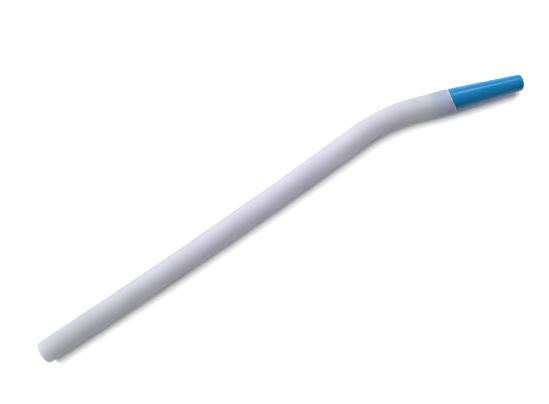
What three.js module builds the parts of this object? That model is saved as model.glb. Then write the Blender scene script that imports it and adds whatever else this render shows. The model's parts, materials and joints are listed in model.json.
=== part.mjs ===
// Saliva ejector tip with a surgical nozzle: a bent plastic tube, and a tapered nozzle pushed into its front
// end. Millimetres, +Z up. The tip lies on its side on the plane z = 0: the bend is in a level plane, and the
// rear end, which goes into the suction valve, faces -X. The origin is under the middle of the whole tip.

import * as THREE from 'three';

// Tube: one extrusion, cut square at the rear.
const TUBE_RADIUS = 3.25;
const TUBE_WALL = 0.8;
const BORE_RADIUS = TUBE_RADIUS - TUBE_WALL;

// The tube's centreline from the rear: a shaft with a slight bow, one bend back the other way, and a straight
// neck.
const SHAFT_LENGTH = 102.5;
const SHAFT_BOW = 3.2; // degrees to the left
const BEND_LENGTH = 16;
const BEND_ANGLE = 21.7; // degrees to the right
const NECK_LENGTH = 10.3;

// The tube's front rim is cut at a slant, and the nozzle's shoulder is moulded to match. These are the seam's
// angles from square, as seen from above and from the side: it is furthest back on its left and on top.
const SEAM_SLANT_LEFT = 9.6; // degrees
const SEAM_SLANT_UP = 15.8; // degrees

// Nozzle: one moulding. Its shank is inside the tube, and its shoulder seats on the tube's front rim.
const NOZZLE_LENGTH = 19; // outside the tube
const SHOULDER_RADIUS = 3.18;
const MOUTH_RADIUS = 2.24;
const MOUTH_BORE_RADIUS = 1.25;
const LIP_CHAMFER = 0.45;
const SHANK_LENGTH = 5.6;
const SHANK_BORE_RADIUS = 1.7;
const SHANK_LEAD_IN = 0.4; // chamfer on the shank's rear end
const SHANK_CLEARANCE = 0.05; // all round, in the tube's bore
const SEAT_GAP = 0.05; // between the shoulder and the tube's rim

// Facets
const SIDES = 24;
const TUBE_STEPS = 30;
const SEAM_TOLERANCE = 0.001; // a vertex this near the square seam plane is in it

const radians = THREE.MathUtils.degToRad;

const STRETCHES = [
  { length: SHAFT_LENGTH, turn: radians(SHAFT_BOW) },
  { length: BEND_LENGTH, turn: radians(-BEND_ANGLE) },
  { length: NECK_LENGTH, turn: 0 },
];
const TUBE_LENGTH = SHAFT_LENGTH + BEND_LENGTH + NECK_LENGTH;

// The point of the centreline at a distance from its rear end, and its heading there. Each stretch is an arc
// or a straight, and is crossed by the chord of the part that is covered.
function centrelineAt(distance) {
  let x = 0;
  let y = 0;
  let heading = 0;
  let remaining = distance;
  for (const { length, turn } of STRETCHES) {
    const run = Math.min(remaining, length);
    const turned = (turn * run) / length;
    const chord = turned === 0 ? run : ((2 * length) / turn) * Math.sin(turned / 2);
    x += chord * Math.cos(heading + turned / 2);
    y += chord * Math.sin(heading + turned / 2);
    heading += turned;
    remaining -= run;
  }
  return { point: new THREE.Vector3(x, y, TUBE_RADIUS), heading };
}

// How far ahead of a square cut the slanted seam is, at a place to the left of the centreline and above it.
function seamAhead(left, up) {
  return -left * Math.tan(radians(SEAM_SLANT_LEFT)) - up * Math.tan(radians(SEAM_SLANT_UP));
}

// Moves the vertices of a geometry's square seam face, which lies at origin and faces ahead, onto the
// slanted seam.
function slantSeam(geometry, origin, ahead) {
  const left = new THREE.Vector3(-ahead.y, ahead.x, 0);
  const corners = geometry.attributes.position;
  const corner = new THREE.Vector3();
  for (let i = 0; i < corners.count; i += 1) {
    const place = corner.fromBufferAttribute(corners, i).clone().sub(origin);
    if (Math.abs(place.dot(ahead)) < SEAM_TOLERANCE) {
      corner.addScaledVector(ahead, seamAhead(place.dot(left), place.z));
      corners.setXYZ(i, corner.x, corner.y, corner.z);
    }
  }
}

class Centreline extends THREE.Curve {
  getPoint(t, target = new THREE.Vector3()) {
    return target.copy(centrelineAt(t * TUBE_LENGTH).point);
  }

  getTangent(t, target = new THREE.Vector3()) {
    const { heading } = centrelineAt(t * TUBE_LENGTH);
    return target.set(Math.cos(heading), Math.sin(heading), 0);
  }
}

// The middle of the tube's front end, and the way that it faces.
const front = centrelineAt(TUBE_LENGTH);
const ahead = new THREE.Vector3(Math.cos(front.heading), Math.sin(front.heading), 0);

function makeTube() {
  const section = new THREE.Shape().absarc(0, 0, TUBE_RADIUS, 0, 2 * Math.PI);
  section.holes.push(new THREE.Path().absarc(0, 0, BORE_RADIUS, 0, 2 * Math.PI));
  const geometry = new THREE.ExtrudeGeometry(section, {
    extrudePath: new Centreline(),
    steps: TUBE_STEPS,
    curveSegments: SIDES / 2,
  });
  slantSeam(geometry, front.point, ahead);
  const plastic = new THREE.MeshStandardMaterial({ color: 0xd9d8e6, roughness: 0.5, metalness: 0 });
  const tube = new THREE.Mesh(geometry, plastic);
  tube.name = 'suction_tube';
  return tube;
}

// The nozzle's own axis is +Y, with its shoulder at 0. The profile runs round the wall, from the rear of the
// shank's bore, in radius and height above the shoulder.
function makeNozzle() {
  const shankRadius = BORE_RADIUS - SHANK_CLEARANCE;
  const profile = [
    [SHANK_BORE_RADIUS, -SHANK_LENGTH],
    [shankRadius - SHANK_LEAD_IN / 2, -SHANK_LENGTH],
    [shankRadius, -SHANK_LENGTH + SHANK_LEAD_IN],
    [shankRadius, 0],
    [SHOULDER_RADIUS, 0],
    [MOUTH_RADIUS, NOZZLE_LENGTH - LIP_CHAMFER],
    [MOUTH_RADIUS - LIP_CHAMFER, NOZZLE_LENGTH],
    [MOUTH_BORE_RADIUS, NOZZLE_LENGTH],
    [SHANK_BORE_RADIUS, -SHANK_LENGTH],
  ].map(([radius, height]) => new THREE.Vector2(radius, height));
  const plastic = new THREE.MeshStandardMaterial({ color: 0x1f7fc0, roughness: 0.3, metalness: 0 });
  const geometry = new THREE.LatheGeometry(profile, SIDES);
  slantSeam(geometry, new THREE.Vector3(), new THREE.Vector3(0, 1, 0));
  const nozzle = new THREE.Mesh(geometry, plastic);
  nozzle.name = 'suction_nozzle';
  return nozzle;
}

const tip = new THREE.Group();
tip.add(makeTube());

// The nozzle stands at the front rim, along the tube's heading there.
const nozzle = makeNozzle();
nozzle.position.copy(front.point).addScaledVector(ahead, SEAT_GAP);
nozzle.rotation.z = front.heading - Math.PI / 2;
tip.add(nozzle);

// The origin goes under the middle of the tip's box.
const middle = new THREE.Box3().setFromObject(tip, true).getCenter(new THREE.Vector3());
tip.position.set(-middle.x, -middle.y, 0);

export default tip;
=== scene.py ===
import json
import math

import bpy
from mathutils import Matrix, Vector


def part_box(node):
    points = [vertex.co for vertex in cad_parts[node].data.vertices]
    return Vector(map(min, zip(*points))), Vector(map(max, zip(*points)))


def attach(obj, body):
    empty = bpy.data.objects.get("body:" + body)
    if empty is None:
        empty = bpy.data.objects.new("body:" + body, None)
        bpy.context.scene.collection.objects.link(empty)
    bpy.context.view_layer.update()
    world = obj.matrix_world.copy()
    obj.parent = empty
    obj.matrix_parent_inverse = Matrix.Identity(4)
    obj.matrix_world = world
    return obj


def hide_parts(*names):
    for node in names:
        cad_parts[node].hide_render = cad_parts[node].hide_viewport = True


# A saliva ejector tip with a surgical nozzle, lying on a white surface, seen from straight above.
# Everything is in metres in the CAD frame: +X runs along the shaft towards the nozzle, and +Z is up.

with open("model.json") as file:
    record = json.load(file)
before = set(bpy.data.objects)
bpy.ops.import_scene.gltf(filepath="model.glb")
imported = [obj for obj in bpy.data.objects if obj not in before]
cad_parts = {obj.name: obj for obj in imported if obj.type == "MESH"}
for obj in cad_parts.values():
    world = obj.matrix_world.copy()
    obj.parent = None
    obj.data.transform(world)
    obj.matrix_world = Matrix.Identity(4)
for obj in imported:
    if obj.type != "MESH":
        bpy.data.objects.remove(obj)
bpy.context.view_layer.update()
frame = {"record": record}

MM = 0.001

# ---- Sizes of the real piece, as in the CAD model ----

tube_low, tube_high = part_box("suction_tube")
TUBE_RADIUS = (tube_high.z - tube_low.z) / 2
TUBE_WALL = 0.8 * MM
BORE_RADIUS = TUBE_RADIUS - TUBE_WALL
SHAFT_LENGTH = 102.5 * MM
SHAFT_BOW = math.radians(3.2)
BEND_LENGTH = 16 * MM
BEND_ANGLE = math.radians(-21.7)
NECK_LENGTH = 10.3 * MM
TUBE_LENGTH = SHAFT_LENGTH + BEND_LENGTH + NECK_LENGTH
RIM_ROUND = 0.2 * MM
EDGE_FADE = 0.3 * MM  # past the rims, where their paler colour fades out
# The seam's slope: it is furthest back on its left and on top.
SEAM_SLANT_LEFT = math.tan(math.radians(9.6))
SEAM_SLANT_UP = math.tan(math.radians(15.8))
SLANT_REACH = 5 * MM  # the slant fades out this far from the seam

NOZZLE_LENGTH = 19 * MM
SHOULDER_RADIUS = 3.18 * MM
SHOULDER_ROUND = 0.3 * MM
MOUTH_RADIUS = 2.24 * MM
MOUTH_BORE_RADIUS = 1.25 * MM
LIP_ROUND = 0.6 * MM
SHANK_LENGTH = 5.6 * MM
SHANK_BORE_RADIUS = 1.7 * MM
SHANK_CLEARANCE = 0.05 * MM
SHANK_ROUND = 0.3 * MM
BORE_BREAK = 0.1 * MM  # the broken edges at both ends of the nozzle's bore
SEAT_GAP = 0.05 * MM

# ---- How finely the meshes are cut ----

SIDES = 96
TUBE_STEP = 0.8 * MM
NOZZLE_STEP = 0.5 * MM
ROUND_STEPS = 5


# ---- The centreline ----

STRETCHES = (
    (SHAFT_LENGTH, SHAFT_BOW),
    (BEND_LENGTH, BEND_ANGLE),
    (NECK_LENGTH, 0.0),
)
valve_end = next(m for m in frame["record"]["mounts"] if m["name"] == "valve_end")
REAR = Vector((valve_end["pos_m"][0], valve_end["pos_m"][1], TUBE_RADIUS))


def along_tube(distance):
    """The point of the centreline that far from the rear end, and the heading there. Past the front end it
    runs on straight."""
    point = REAR.copy()
    heading = 0.0
    remaining = distance
    for length, turn in STRETCHES:
        run = min(remaining, length)
        turned = turn * run / length
        chord = run if turned == 0 else 2 * length / turn * math.sin(turned / 2)
        middle = heading + turned / 2
        point += chord * Vector((math.cos(middle), math.sin(middle), 0))
        heading += turned
        remaining -= run
    return point + remaining * Vector((math.cos(heading), math.sin(heading), 0)), heading


def along_nozzle(height):
    """The point of the nozzle's axis that far ahead of its shoulder, and the heading."""
    return along_tube(TUBE_LENGTH + SEAT_GAP + height)


# ---- Round shapes about a line ----


def arc(centre, radius, start, end):
    """Points of an arc in (distance, radius), from one angle to the other, in degrees."""
    angles = [math.radians(start + (end - start) * i / ROUND_STEPS) for i in range(ROUND_STEPS + 1)]
    return [(centre[0] + radius * math.cos(angle), centre[1] + radius * math.sin(angle)) for angle in angles]


def straight(start, end, step):
    """The points between two (distance, radius) points, without the ends."""
    count = max(1, round(abs(end[0] - start[0]) / step))
    return [
        tuple(a + (b - a) * i / count for a, b in zip(start, end))
        for i in range(1, count)
    ]


def seam_ahead(left, up):
    """How far ahead of a square cut the slanted seam is, at a place left of the centreline and above."""
    return -left * SEAM_SLANT_LEFT - up * SEAM_SLANT_UP


def round_body(name, profile, place, seam, edges=()):
    """A closed body whose wall follows profile, a loop of (distance, radius), round the line that place
    gives. seam(distance) is how much of the seam's slant a ring there takes, from 0 to 1.
    Its point attribute "unbent" is where each point lies when the line is straight: along, across, up.
    Its point attribute "edge" is 1 on the rings in one of the stretches in edges, and 0 elsewhere."""
    points = []
    unbent = []
    edge = []
    for distance, radius in profile:
        centre, heading = place(distance)
        ahead = Vector((math.cos(heading), math.sin(heading), 0))
        across = Vector((-ahead.y, ahead.x, 0))
        for k in range(SIDES):
            angle = 2 * math.pi * k / SIDES
            side, up = radius * math.cos(angle), radius * math.sin(angle)
            on = seam(distance) * seam_ahead(side, up)
            points.append(centre + side * across + Vector((0, 0, up)) + on * ahead)
            unbent.extend((distance + on, side, up))
        # The materials paint a highlight on the rings where this is 1.
        edge.extend([float(any(low <= distance <= high for low, high in edges))] * SIDES)
    rings = len(profile)
    faces = []
    for i in range(rings):
        for k in range(SIDES):
            here, there = i * SIDES, (i + 1) % rings * SIDES
            beside = (k + 1) % SIDES
            faces.append((here + k, there + k, there + beside, here + beside))
    mesh = bpy.data.meshes.new(name)
    mesh.from_pydata(points, [], faces)
    mesh.attributes.new("unbent", "FLOAT_VECTOR", "POINT").data.foreach_set("vector", unbent)
    mesh.attributes.new("edge", "FLOAT", "POINT").data.foreach_set("value", edge)
    mesh.polygons.foreach_set("use_smooth", [True] * len(mesh.polygons))
    piece = bpy.data.objects.new(name, mesh)
    bpy.context.scene.collection.objects.link(piece)
    return piece


def tube_profile():
    """The loop round the tube's wall: out to the front along the outside, and back along the bore."""
    r = RIM_ROUND
    outside, bore = TUBE_RADIUS, BORE_RADIUS
    loop = arc((r, outside - r), r, 180, 90)
    loop += [(r + EDGE_FADE, outside)]
    loop += straight((r + EDGE_FADE, outside), (TUBE_LENGTH - r - EDGE_FADE, outside), TUBE_STEP)
    loop += [(TUBE_LENGTH - r - EDGE_FADE, outside)]
    loop += arc((TUBE_LENGTH - r, outside - r), r, 90, 0)
    loop += arc((TUBE_LENGTH - r, bore + r), r, 0, -90)
    loop += straight((TUBE_LENGTH - r, bore), (r, bore), TUBE_STEP)
    loop += arc((r, bore + r), r, -90, -180)
    return loop


def nozzle_profile():
    """The loop round the nozzle's wall: from the shank's rear end, over the shoulder and the cone, and back
    through the bore."""
    shank = BORE_RADIUS - SHANK_CLEARANCE
    rear, front = -SHANK_LENGTH, NOZZLE_LENGTH
    loop = [(rear, SHANK_BORE_RADIUS + BORE_BREAK)]
    loop += arc((rear + SHANK_ROUND, shank - SHANK_ROUND), SHANK_ROUND, 180, 90)
    loop += straight((rear + SHANK_ROUND, shank), (0, shank), NOZZLE_STEP)
    loop += [(0, shank)]
    loop += arc((SHOULDER_ROUND, SHOULDER_RADIUS - SHOULDER_ROUND), SHOULDER_ROUND, 180, 90)
    loop += straight((SHOULDER_ROUND, SHOULDER_RADIUS), (front - LIP_ROUND, MOUTH_RADIUS), NOZZLE_STEP)
    loop += arc((front - LIP_ROUND, MOUTH_RADIUS - LIP_ROUND), LIP_ROUND, 90, 0)
    bore_front = (front - BORE_BREAK, MOUTH_BORE_RADIUS)
    bore_rear = (rear + BORE_BREAK, SHANK_BORE_RADIUS)
    loop += [(front, MOUTH_BORE_RADIUS + BORE_BREAK), bore_front]
    loop += straight(bore_front, bore_rear, NOZZLE_STEP)
    loop += [bore_rear]
    return loop


def tube_seam(distance):
    """The slant comes in over the neck, so that the rings near the front rim stay clear of each other."""
    return max(0.0, 1 + (distance - TUBE_LENGTH) / SLANT_REACH)


def nozzle_seam(height):
    """The same on both sides of the shoulder."""
    return max(0.0, 1 - abs(height) / SLANT_REACH)


# ---- Materials ----

# The tube's colour, and the colour of the light that passes through its wall: in the middle of the tube, at
# its ends, over the shank, and on its cut edges. Over the shank both are a painted bluish tint for the blue
# shank seen through the wall, and on the cut edges a painted highlight for light coming through the cut
# rims.
TUBE_COLOURS = (
    (0.535, 0.525, 0.60), (0.455, 0.467, 0.493), (0.54, 0.58, 0.64), (0.72, 0.72, 0.75),
)
TUBE_GLOWS = (
    (0.68, 0.67, 0.71), (0.65, 0.66, 0.68), (0.66, 0.70, 0.76), (0.80, 0.80, 0.81),
)
TUBE_THROUGH = 0.64  # the share of the light that passes through the tube's wall
SOCKET_THROUGH = 0.8  # the same over the shank, raised there so that the shank shows through as a darker band
# How far along the tube the band over the shank begins, and where it is full
SOCKET_START = TUBE_LENGTH - SHANK_LENGTH - 1.5 * MM
SOCKET_FULL = TUBE_LENGTH - SHANK_LENGTH + 0.5 * MM
TINT_MIDDLE = 75 * MM  # how far along the tube its middle tint is strongest
TINT_NEAR, TINT_FAR = 20 * MM, 70 * MM  # the tint changes between these distances from there

NOZZLE_COLOURS = ((0.002, 0.105, 0.235), (0.004, 0.111, 0.247))
# The lip's paler colour is a painted highlight.
LIP_HIGHLIGHT_COLOUR = (0.05, 0.26, 0.46)

NOISE_LOW, NOISE_HIGH = 0.3, 0.7  # nearly all of a noise's values lie between these


def new_material(name):
    """A material with a principled shader. Returns it with its node tree and the shader."""
    made = bpy.data.materials.new(name)
    made.use_nodes = True
    return made, made.node_tree, made.node_tree.nodes["Principled BSDF"]


def add_node(tree, kind, inputs, **settings):
    """A node with its settings and inputs. An input given a socket is linked to it."""
    made = tree.nodes.new("ShaderNode" + kind)
    for key, value in settings.items():
        setattr(made, key, value)
    for key, value in inputs.items():
        if isinstance(value, bpy.types.NodeSocket):
            tree.links.new(value, made.inputs[key])
        else:
            made.inputs[key].default_value = value
    return made


def unbent_place(tree, scale):
    """The straightened place on the piece, scaled, for a texture to read."""
    place = add_node(tree, "Attribute", {}, attribute_name="unbent").outputs["Vector"]
    return add_node(tree, "Mapping", {"Vector": place, "Scale": scale}).outputs["Vector"]


def noise(tree, cells, detail=2.0):
    """Noise over the straightened piece. cells is how many there are in a metre along, across and up."""
    place = unbent_place(tree, cells)
    return add_node(tree, "TexNoise", {"Vector": place, "Scale": 1.0, "Detail": detail}).outputs["Fac"]


def spread(tree, value, low, high, to_low, to_high):
    """value from low to high becomes to_low to to_high."""
    return add_node(
        tree,
        "MapRange",
        {"Value": value, "From Min": low, "From Max": high, "To Min": to_low, "To Max": to_high},
    ).outputs["Result"]


def varied(tree, value, low, high):
    """A noise's value, made to vary from low to high."""
    return spread(tree, value, NOISE_LOW, NOISE_HIGH, low, high)


def edge_highlight_share(tree):
    """1 on the piece's cut or rounded edges and 0 elsewhere: where the materials paint a highlight."""
    return add_node(tree, "Attribute", {}, attribute_name="edge").outputs["Fac"]


def mixed(tree, factor, first, second):
    """A colour between two, which may each be a colour or a socket."""
    made = tree.nodes.new("ShaderNodeMix")
    made.data_type = "RGBA"
    tree.links.new(factor, made.inputs["Factor"])
    for end, colour in zip((made.inputs["A"], made.inputs["B"]), (first, second)):
        if isinstance(colour, bpy.types.NodeSocket):
            tree.links.new(colour, end)
        else:
            end.default_value = (*colour, 1)
    return made.outputs["Result"]


def bumps(tree, layers):
    """The normal of bump layers, each (height, depth in metres), one over the other."""
    normal = None
    for height, depth in layers:
        inputs = {"Height": height, "Distance": depth, "Strength": 1.0}
        if normal is not None:
            inputs["Normal"] = normal
        normal = add_node(tree, "Bump", inputs).outputs["Normal"]
    return normal


def tube_plastic():
    """Extruded milky plastic: satin, and thin enough for the shank inside to show through as a darker band.
    Over the shank its colours are also painted bluer, a painted tint for the blue shank seen through the
    wall.
    It has faint draw lines and cloudy patches, and its tint is a little bluer and brighter towards the
    middle and greyer and darker towards both ends. Its cut ends are painted paler, a painted highlight for
    the light that comes through the cut rims."""
    made, tree, shader = new_material("tube_plastic")
    place = add_node(tree, "Attribute", {}, attribute_name="unbent").outputs["Vector"]
    along = add_node(tree, "SeparateXYZ", {"Vector": place}).outputs["X"]
    past_middle = add_node(tree, "Math", {0: along, 1: TINT_MIDDLE}, operation="SUBTRACT").outputs[0]
    from_middle = add_node(tree, "Math", {0: past_middle}, operation="ABSOLUTE").outputs[0]
    ends = spread(tree, from_middle, TINT_NEAR, TINT_FAR, 0, 1)
    cloud = varied(tree, noise(tree, (90, 300, 300), detail=3.0), 0.97, 1.03)
    # Where the cut ends get their paler colour, a painted highlight.
    edge = edge_highlight_share(tree)
    socket = spread(tree, along, SOCKET_START, SOCKET_FULL, 0, 1)

    # Over the shank the colour is a painted bluish tint for the shank seen through the wall, and on the cut
    # edges a painted highlight.
    def tinted(middle, end, painted_shank_tint, cut):
        plain = mixed(tree, socket, mixed(tree, ends, middle, end), painted_shank_tint)
        clouded = add_node(tree, "VectorMath", {0: plain, "Scale": cloud}, operation="SCALE").outputs[0]
        return mixed(tree, edge, clouded, cut)

    tree.links.new(tinted(*TUBE_COLOURS), shader.inputs["Base Color"])
    rough = varied(tree, noise(tree, (150, 900, 900), detail=4.0), 0.42, 0.54)
    tree.links.new(rough, shader.inputs["Roughness"])
    shader.inputs["Subsurface Weight"].default_value = 1.0
    shader.inputs["Subsurface Radius"].default_value = (1.0, 0.95, 0.9)
    shader.inputs["Subsurface Scale"].default_value = 1.5 * MM
    shader.inputs["Specular IOR Level"].default_value = 0.3
    lines = noise(tree, (12, 1600, 1600), detail=3.0)
    grain = noise(tree, (5000, 5000, 5000))
    normal = bumps(tree, [(lines, 0.010 * MM), (grain, 0.002 * MM)])
    tree.links.new(normal, shader.inputs["Normal"])
    passing = add_node(tree, "BsdfTranslucent", {"Color": tinted(*TUBE_GLOWS), "Normal": normal})
    share = spread(tree, along, SOCKET_START, SOCKET_FULL, TUBE_THROUGH, SOCKET_THROUGH)
    both = add_node(tree, "MixShader", {"Fac": share, 1: shader.outputs["BSDF"], 2: passing.outputs["BSDF"]})
    tree.links.new(both.outputs["Shader"], tree.nodes["Material Output"].inputs["Surface"])
    return made


def nozzle_plastic():
    """Moulded blue plastic: semi-gloss, with a fine mould grain and a faint change of tone. Its lip is
    painted paler, a painted highlight.
    """
    made, tree, shader = new_material("nozzle_plastic")
    cloud = varied(tree, noise(tree, (120, 300, 300)), 0, 1)
    colour = mixed(tree, cloud, *NOZZLE_COLOURS)
    # The lip gets a paler colour here, a painted highlight.
    tree.links.new(mixed(tree, edge_highlight_share(tree), colour, LIP_HIGHLIGHT_COLOUR), shader.inputs["Base Color"])
    rough = varied(tree, noise(tree, (300, 900, 900), detail=4.0), 0.20, 0.25)
    tree.links.new(rough, shader.inputs["Roughness"])
    shader.inputs["Subsurface Weight"].default_value = 0.3
    shader.inputs["Subsurface Radius"].default_value = (0.05, 0.2, 1.0)
    shader.inputs["Subsurface Scale"].default_value = 0.6 * MM
    shader.inputs["IOR"].default_value = 1.5
    shader.inputs["Specular IOR Level"].default_value = 0.13
    drawn = noise(tree, (60, 900, 900))
    grain = noise(tree, (4000, 4000, 4000))
    normal = bumps(tree, [(drawn, 0.0015 * MM), (grain, 0.0006 * MM)])
    tree.links.new(normal, shader.inputs["Normal"])
    return made


def floor_white():
    """Plain white paper. It glows faintly, so that shadows on it stay pale."""
    made, tree, shader = new_material("floor_white")
    shader.inputs["Base Color"].default_value = (0.97, 0.97, 0.97, 1)
    shader.inputs["Roughness"].default_value = 0.9
    shader.inputs["Specular IOR Level"].default_value = 0.0
    shader.inputs["Emission Color"].default_value = (1, 1, 1, 1)
    shader.inputs["Emission Strength"].default_value = 0.1
    return made


# ---- The pieces ----

# The rims that the tube's material paints paler, a painted highlight.
cut_ends = ((-MM, RIM_ROUND), (TUBE_LENGTH - RIM_ROUND, TUBE_LENGTH + MM))
tube = round_body("tube", tube_profile(), along_tube, tube_seam, cut_ends)
tube.data.materials.append(tube_plastic())
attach(tube, "tube")
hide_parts("suction_tube")

lip = ((NOZZLE_LENGTH - LIP_ROUND / 2, NOZZLE_LENGTH),)
nozzle = round_body("nozzle", nozzle_profile(), along_nozzle, nozzle_seam, lip)
nozzle.data.materials.append(nozzle_plastic())
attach(nozzle, "nozzle")
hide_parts("suction_nozzle")

# ---- Floor, light and camera ----

FLOOR_SIZE = 2.6
LAMP_DISTANCE = 2.0
LAMPS = (
    # name, power in watts, width in metres, and in degrees its elevation and its direction in the picture,
    # counter-clockwise from the picture's right
    ("key", 47, 1.15, 68, 124.5),
    ("side", 47, 1.15, 29, 124.5),
    ("sheen", 14, 0.5, 38, 75),
)
SKY_STRENGTH = 0.12
HORIZON_STRENGTH = 0.7
HORIZON_TOP = 0.25  # the sine of the elevation where the pale horizon has faded into the sky

CAMERA_HEIGHT = 176.6 * MM
CAMERA_PLACE = REAR + Vector((73.40 * MM, 0.34 * MM, 0))
CAMERA_ROLL = math.radians(-32.92)
CAMERA_SENSOR = 36.0
CAMERA_LENS = 42.62

bpy.ops.mesh.primitive_plane_add(size=FLOOR_SIZE)
floor = bpy.context.object
floor.name = "floor"
floor.data.materials.append(floor_white())

world = bpy.data.worlds.new("sky")
world.use_nodes = True
background = world.node_tree.nodes["Background"]
background.inputs["Color"].default_value = (1.0, 1.0, 1.0, 1)
towards = add_node(world.node_tree, "TexCoord", {}).outputs["Generated"]
upward = add_node(world.node_tree, "SeparateXYZ", {"Vector": towards}).outputs["Z"]
glow = spread(world.node_tree, upward, 0, HORIZON_TOP, HORIZON_STRENGTH, SKY_STRENGTH)
world.node_tree.links.new(glow, background.inputs["Strength"])
bpy.context.scene.world = world

for name, power, width, elevation, direction in LAMPS:
    lamp_data = bpy.data.lights.new(name, "AREA")
    lamp_data.size = width
    lamp_data.energy = power
    lamp = bpy.data.objects.new(name, lamp_data)
    bpy.context.scene.collection.objects.link(lamp)
    reach, rise = math.cos(math.radians(elevation)), math.sin(math.radians(elevation))
    heading = math.radians(direction) + CAMERA_ROLL
    lamp.location = LAMP_DISTANCE * Vector((reach * math.cos(heading), reach * math.sin(heading), rise))
    lamp.rotation_euler = (-lamp.location).to_track_quat("-Z", "Y").to_euler()

camera_data = bpy.data.cameras.new("camera")
camera_data.sensor_width = CAMERA_SENSOR
camera_data.lens = CAMERA_LENS
camera_data.clip_start = 0.01
camera_data.clip_end = 10
camera = bpy.data.objects.new("camera", camera_data)
bpy.context.scene.collection.objects.link(camera)
camera.location = (CAMERA_PLACE.x, CAMERA_PLACE.y, CAMERA_HEIGHT)
camera.rotation_euler = (0, 0, CAMERA_ROLL)
bpy.context.scene.camera = camera

bpy.context.scene.view_settings.view_transform = "Standard"
